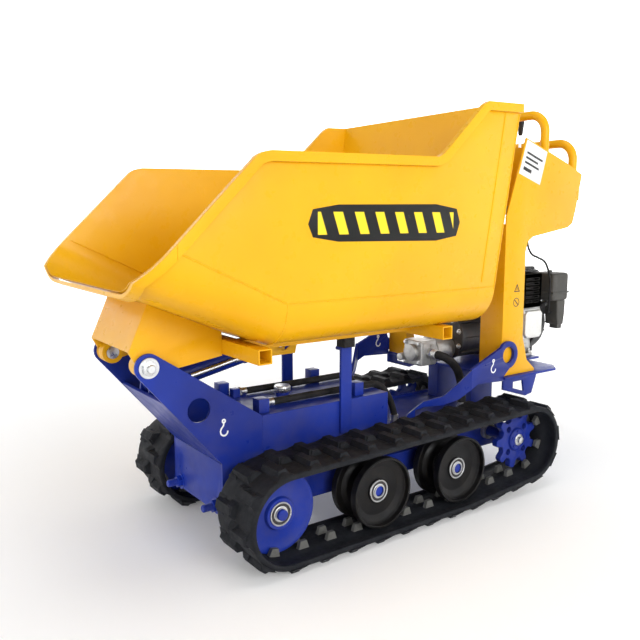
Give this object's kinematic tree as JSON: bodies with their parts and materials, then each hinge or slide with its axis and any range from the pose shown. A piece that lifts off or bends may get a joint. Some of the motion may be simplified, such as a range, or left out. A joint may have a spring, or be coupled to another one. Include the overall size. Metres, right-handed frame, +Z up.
{
  "type": "tracked power barrow",
  "caption": "Tracked motor barrow with a forward-tipping steel skip over an oil tank, rear engine, hydraulic drive to rubber tracks, and a rear control console with handlebars.",
  "frame": {"origin": "on the ground under the centre of the outline", "axes": "+X forward to the skip lip, +Y to the machine left, +Z up"},
  "size_m": [1.768, 0.79, 1.28],
  "materials": {
    "yellow_paint": "gloss",
    "blue_paint": "gloss",
    "black_rubber": "matt",
    "track_rubber": "matt",
    "wheel_paint": "satin",
    "zinc": "satin",
    "chrome": "polished",
    "cast_aluminium": "as cast",
    "black_plastic": "matt",
    "dark_steel": "satin",
    "black_enamel": "gloss",
    "band_print": "printed"
  },
  "bodies": {
    "chassis": {"chassis_box": "blue_paint", "front_yoke": "blue_paint", "front_plate": "blue_paint", "tensioner_bolts": "zinc", "rear_chassis": "blue_paint", "track_frame_left": "blue_paint", "track_frame_right": "blue_paint", "wheel_axles": "blue_paint", "drive_motor_left": "cast_aluminium", "drive_motor_right": "cast_aluminium", "rest_posts": "blue_paint", "rest_pads": "black_rubber", "tank_blocks": "blue_paint", "tank_hoses": "black_rubber", "rear_arm_left": "blue_paint", "rear_arm_right": "blue_paint", "platform": "blue_paint", "platform_brackets": "blue_paint", "pivot_pins": "zinc", "cylinder_base_pin": "zinc", "track_left": "track_rubber", "track_right": "track_rubber", "console_left": "yellow_paint", "console_right": "yellow_paint", "control_panel": "yellow_paint", "control_valve": "cast_aluminium", "handlebar_front": "yellow_paint", "handlebar_rear": "yellow_paint", "engine_block": "cast_aluminium", "fan_cover": "black_plastic", "muffler_guard": "dark_steel", "air_cleaner": "black_plastic", "fuel_tank": "black_enamel", "hydraulic_pump": "cast_aluminium", "suction_hose": "black_rubber", "throttle_cable": "black_rubber"},
    "skip": {"skip_shell": "yellow_paint", "skip_rim": "yellow_paint", "skip_bracket": "yellow_paint", "skip_rails": "yellow_paint", "skip_cross_tubes": "yellow_paint", "skip_clevis": "yellow_paint", "skip_band": "band_print"},
    "tip_barrel": {"cylinder_barrel": "blue_paint", "cylinder_pipe": "zinc"},
    "tip_rod": {"cylinder_rod": "chrome"},
    "idler_left": {"idler_left": "blue_paint"},
    "idler_right": {"idler_right": "blue_paint"},
    "road_wheel_front_left": {"road_wheel_front_left": "wheel_paint"},
    "road_wheel_front_right": {"road_wheel_front_right": "wheel_paint"},
    "road_wheel_rear_left": {"road_wheel_rear_left": "wheel_paint"},
    "road_wheel_rear_right": {"road_wheel_rear_right": "wheel_paint"},
    "sprocket_left": {"sprocket_left": "blue_paint"},
    "sprocket_right": {"sprocket_right": "blue_paint"},
    "travel_lever_left": {"travel_lever_left": "black_plastic"},
    "travel_lever_right": {"travel_lever_right": "black_plastic"},
    "tip_lever": {"tip_lever": "black_plastic"},
    "starter_handle": {"starter_handle": "black_plastic"},
    "fuel_cap": {"fuel_cap": "black_plastic"},
    "filler_cap": {"filler_cap": "zinc"}
  },
  "joints": [
    {"name": "skip_tip", "type": "hinge", "parent": "chassis", "child": "skip", "pos_m": [0.777, 0, 0.551], "axis": [0, 1, 0], "range_deg": [0, 70]},
    {"name": "cylinder_swing", "type": "hinge", "parent": "chassis", "child": "tip_barrel", "pos_m": [0.7, 0, 0.47], "axis": [0, 1, 0], "range_deg": [0, 72]},
    {"name": "rod_extend", "type": "slide", "parent": "tip_barrel", "child": "tip_rod", "axis": [-0.9782, 0, 0.2079], "range_m": [0, 0.13]},
    {"name": "sprocket_left_spin", "type": "hinge", "parent": "chassis", "child": "sprocket_left", "pos_m": [-0.484, 0.278, 0.167], "axis": [0, 1, 0], "continuous": true},
    {"name": "idler_left_spin", "type": "hinge", "parent": "chassis", "child": "idler_left", "pos_m": [0.484, 0.278, 0.146], "axis": [0, 1, 0], "continuous": true},
    {"name": "road_front_left_spin", "type": "hinge", "parent": "chassis", "child": "road_wheel_front_left", "pos_m": [0.155, 0.278, 0.137], "axis": [0, 1, 0], "continuous": true},
    {"name": "road_rear_left_spin", "type": "hinge", "parent": "chassis", "child": "road_wheel_rear_left", "pos_m": [-0.169, 0.278, 0.137], "axis": [0, 1, 0], "continuous": true},
    {"name": "sprocket_right_spin", "type": "hinge", "parent": "chassis", "child": "sprocket_right", "pos_m": [-0.484, -0.278, 0.167], "axis": [0, 1, 0], "continuous": true},
    {"name": "idler_right_spin", "type": "hinge", "parent": "chassis", "child": "idler_right", "pos_m": [0.484, -0.278, 0.146], "axis": [0, 1, 0], "continuous": true},
    {"name": "road_front_right_spin", "type": "hinge", "parent": "chassis", "child": "road_wheel_front_right", "pos_m": [0.155, -0.278, 0.137], "axis": [0, 1, 0], "continuous": true},
    {"name": "road_rear_right_spin", "type": "hinge", "parent": "chassis", "child": "road_wheel_rear_right", "pos_m": [-0.169, -0.278, 0.137], "axis": [0, 1, 0], "continuous": true},
    {"name": "travel_lever_left_swing", "type": "hinge", "parent": "chassis", "child": "travel_lever_left", "pos_m": [-0.658, 0.115, 1.018], "axis": [0, 1, 0], "range_deg": [-5, 5], "stiffness_Nm_per_rad": 0.6},
    {"name": "travel_lever_right_swing", "type": "hinge", "parent": "chassis", "child": "travel_lever_right", "pos_m": [-0.658, -0.115, 1.018], "axis": [0, 1, 0], "range_deg": [-5, 5], "stiffness_Nm_per_rad": 0.6},
    {"name": "tip_lever_swing", "type": "hinge", "parent": "chassis", "child": "tip_lever", "pos_m": [-0.658, 0.212, 1.018], "axis": [0, 1, 0], "range_deg": [-5, 5], "stiffness_Nm_per_rad": 0.6},
    {"name": "starter_pull", "type": "slide", "parent": "chassis", "child": "starter_handle", "axis": [-1, 0, 0], "range_m": [0, 0.6], "stiffness_N_per_m": 8},
    {"name": "fuel_cap_lift", "type": "slide", "parent": "chassis", "child": "fuel_cap", "axis": [0, 0, 1], "range_m": [0, 0.15]},
    {"name": "filler_cap_lift", "type": "slide", "parent": "chassis", "child": "filler_cap", "axis": [0, 0, 1], "range_m": [0, 0.12]}
  ],
  "couplings": [
    {"joint": "cylinder_swing", "follows": "skip_tip", "ratio": 1.01},
    {"joint": "rod_extend", "follows": "skip_tip", "m_per_rad": 0.1045},
    {"joint": "idler_left_spin", "follows": "sprocket_left_spin", "ratio": 0.98246},
    {"joint": "road_front_left_spin", "follows": "sprocket_left_spin", "ratio": 1.0667},
    {"joint": "road_rear_left_spin", "follows": "sprocket_left_spin", "ratio": 1.0667},
    {"joint": "idler_right_spin", "follows": "sprocket_right_spin", "ratio": 0.98246},
    {"joint": "road_front_right_spin", "follows": "sprocket_right_spin", "ratio": 1.0667},
    {"joint": "road_rear_right_spin", "follows": "sprocket_right_spin", "ratio": 1.0667}
  ]
}
